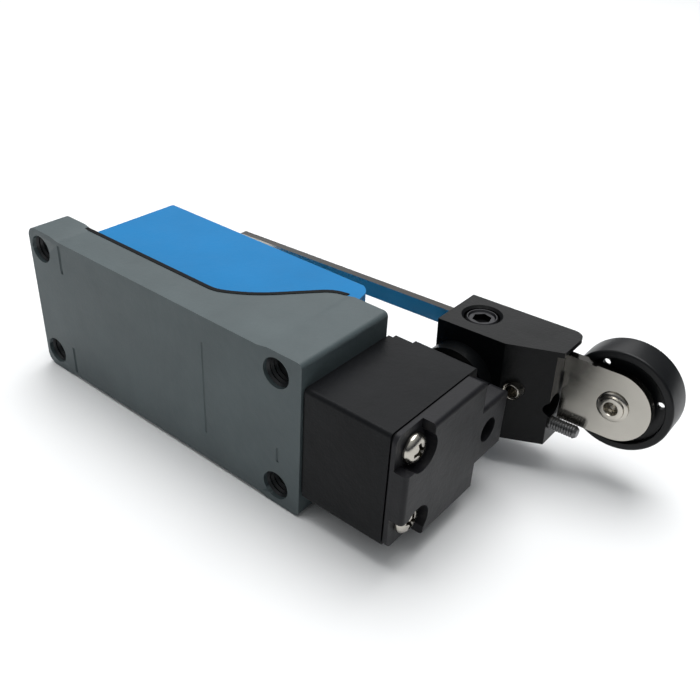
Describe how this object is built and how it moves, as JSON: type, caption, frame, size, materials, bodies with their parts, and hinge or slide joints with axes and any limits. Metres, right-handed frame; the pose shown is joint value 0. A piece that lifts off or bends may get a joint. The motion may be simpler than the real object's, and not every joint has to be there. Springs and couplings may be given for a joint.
{
  "type": "limit switch",
  "caption": "Compact limit switch: die-cast case with a side rotary head, spring-return lever whose arm slides to set its radius, and a roller.",
  "frame": {"origin": "centre of the four mounting holes, on the mounting face", "axes": "+X along the body from the cable end to the head, +Y away from the mounting face, +Z across the body"},
  "size_m": [0.1038, 0.0461, 0.0282],
  "materials": {
    "case_paint": "satin, fine texture",
    "cover_paint": "satin",
    "black_rubber": "matt",
    "head_paint": "satin, fine texture",
    "nickel_screws": "bright plated",
    "black_screws": "black oxide",
    "stainless": "satin",
    "steel": "ground",
    "bronze": "oiled",
    "contact_brass": "bright",
    "switch_plastic": "matt",
    "switch_lid_plastic": "matt",
    "roller_plastic": "matt"
  },
  "bodies": {
    "housing": {"case": "case_paint", "cover": "cover_paint", "cover_gasket": "black_rubber", "cover_screws": "nickel_screws", "cable_grommet": "black_rubber", "grommet_washer": "nickel_screws", "head_gasket": "black_rubber", "head_body": "head_paint", "cap_gasket": "black_rubber", "head_cap": "head_paint", "cap_screws": "nickel_screws", "bushing_grub_screw": "black_screws", "head_fixing_screws": "nickel_screws", "shaft_bushing": "bronze", "shaft_seal": "black_rubber", "plunger_seal": "black_rubber", "switch_base": "switch_plastic", "switch_lid": "switch_lid_plastic", "no_contacts": "contact_brass", "nc_contacts": "contact_brass", "terminal_screws": "nickel_screws", "ground_screw": "nickel_screws"},
    "lever": {"lever_shaft": "steel", "cam": "steel", "cam_pin": "steel", "shaft_clip": "nickel_screws", "lever_block": "head_paint", "arm_set_screw": "black_screws", "pinch_screw": "nickel_screws", "block_dowel": "nickel_screws"},
    "arm": {"lever_arm": "stainless", "roller_axle": "nickel_screws"},
    "roller": {"roller": "roller_plastic"},
    "plunger": {"cam_plunger": "steel", "return_spring": "steel"},
    "actuator": {"actuator_pin": "switch_plastic", "contact_bridge": "contact_brass", "contact_spring": "steel"}
  },
  "joints": [
    {"name": "lever_turn", "type": "hinge", "parent": "housing", "child": "lever", "pos_m": [0.04, 0.02, 0], "axis": [0, -1, 0], "range_deg": [-75, 75], "stiffness_Nm_per_rad": 0.3},
    {"name": "arm_slide", "type": "slide", "parent": "lever", "child": "arm", "axis": [0.9992, 0, 0.0401], "range_m": [0, 0.05]},
    {"name": "roller_spin", "type": "hinge", "parent": "arm", "child": "roller", "pos_m": [0.06384, 0.0425, 0.00196], "axis": [0, -1, 0], "continuous": true},
    {"name": "plunger_slide", "type": "slide", "parent": "housing", "child": "plunger", "axis": [-1, 0, 0], "range_m": [0, 0.0014], "stiffness_N_per_m": 400, "springref_m": -0.005, "deforming": ["return_spring"]},
    {"name": "actuator_slide", "type": "slide", "parent": "housing", "child": "actuator", "axis": [-1, 0, 0], "range_m": [0, 0.0014], "deforming": ["contact_spring"]}
  ],
  "couplings": [
    {"joint": "actuator_slide", "follows": "plunger_slide", "ratio": 1}
  ]
}
